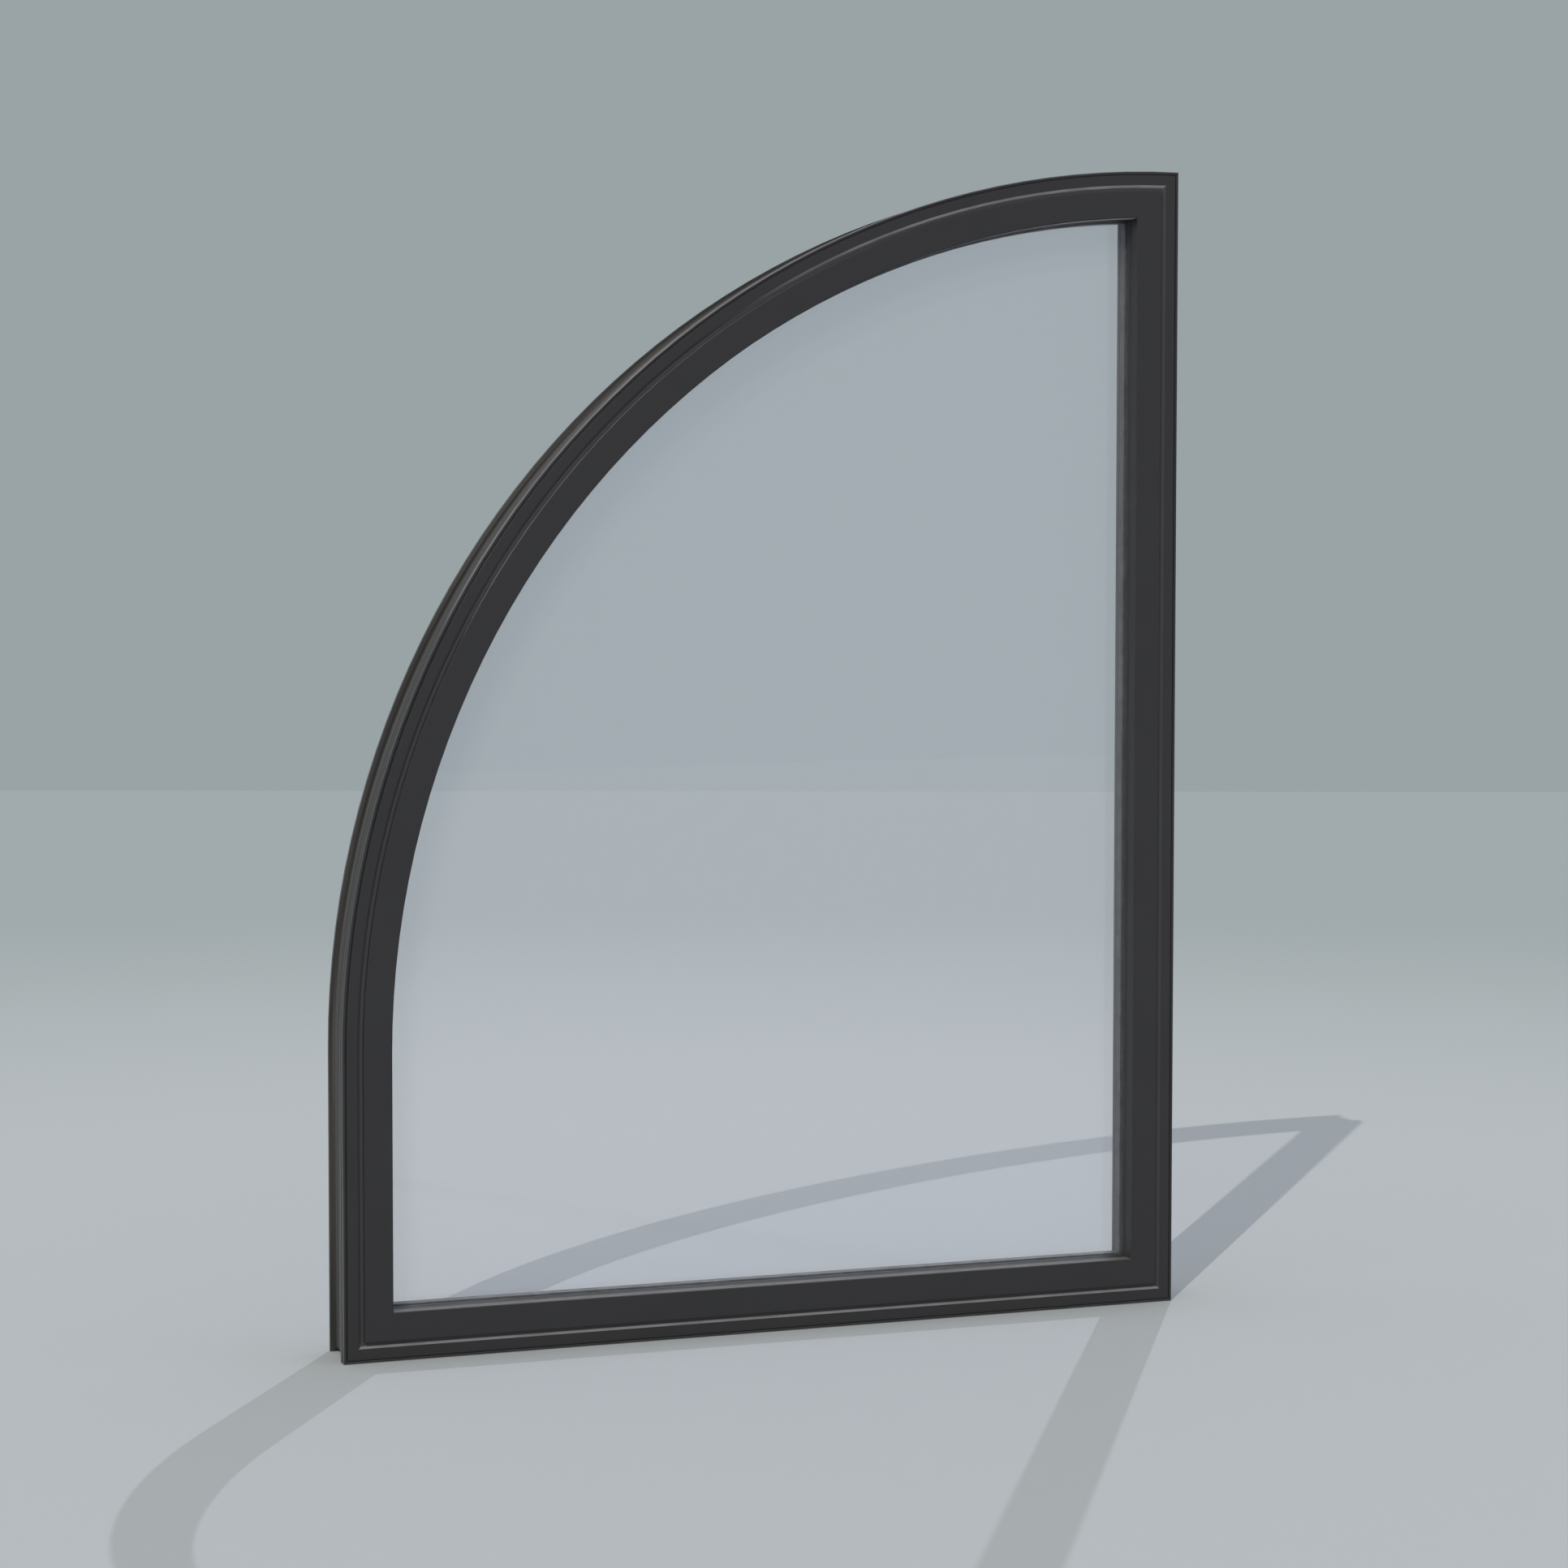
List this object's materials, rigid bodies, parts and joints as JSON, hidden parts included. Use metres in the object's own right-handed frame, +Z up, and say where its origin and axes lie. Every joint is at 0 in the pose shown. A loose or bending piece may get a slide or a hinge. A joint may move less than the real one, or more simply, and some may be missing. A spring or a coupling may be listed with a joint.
{
  "type": "quarter round window",
  "caption": "Fixed window with a level sill, a tall right jamb, a short left jamb and a quarter circle head that rises to a sharp corner, double glazed.",
  "frame": {"origin": "on the underside of the sill, in the middle of its width, on the strip that bears on the wall", "axes": "+X to the right seen from outside, +Y into the room, +Z up"},
  "size_m": [1.067, 0.0857, 1.426],
  "materials": {
    "member_paint": "satin charcoal black coating",
    "seal_rubber": "matte black",
    "spacer_black": "matte black",
    "pane_glass": "clear, with a faint cool tint",
    "block_rubber": "matte black"
  },
  "bodies": {
    "root": {"frame_sill": "member_paint", "frame_left_jamb": "member_paint", "frame_right_jamb": "member_paint", "frame_arch_head": "member_paint", "sash_bottom_rail": "member_paint", "sash_left_stile": "member_paint", "sash_right_stile": "member_paint", "sash_arch_rail": "member_paint", "glazing_bead_bottom": "member_paint", "glazing_bead_left": "member_paint", "glazing_bead_right": "member_paint", "glazing_bead_arch": "member_paint", "sash_seal_bottom": "seal_rubber", "sash_seal_left": "seal_rubber", "sash_seal_right": "seal_rubber", "sash_seal_arch": "seal_rubber", "outer_gasket_bottom": "seal_rubber", "outer_gasket_left": "seal_rubber", "outer_gasket_right": "seal_rubber", "outer_gasket_arch": "seal_rubber", "inner_gasket_bottom": "seal_rubber", "inner_gasket_left": "seal_rubber", "inner_gasket_right": "seal_rubber", "inner_gasket_arch": "seal_rubber", "spacer_bottom": "spacer_black", "spacer_left": "spacer_black", "spacer_right": "spacer_black", "spacer_arch": "spacer_black", "outer_pane": "pane_glass", "inner_pane": "pane_glass", "setting_block_left": "block_rubber", "setting_block_right": "block_rubber"}
  },
  "joints": []
}
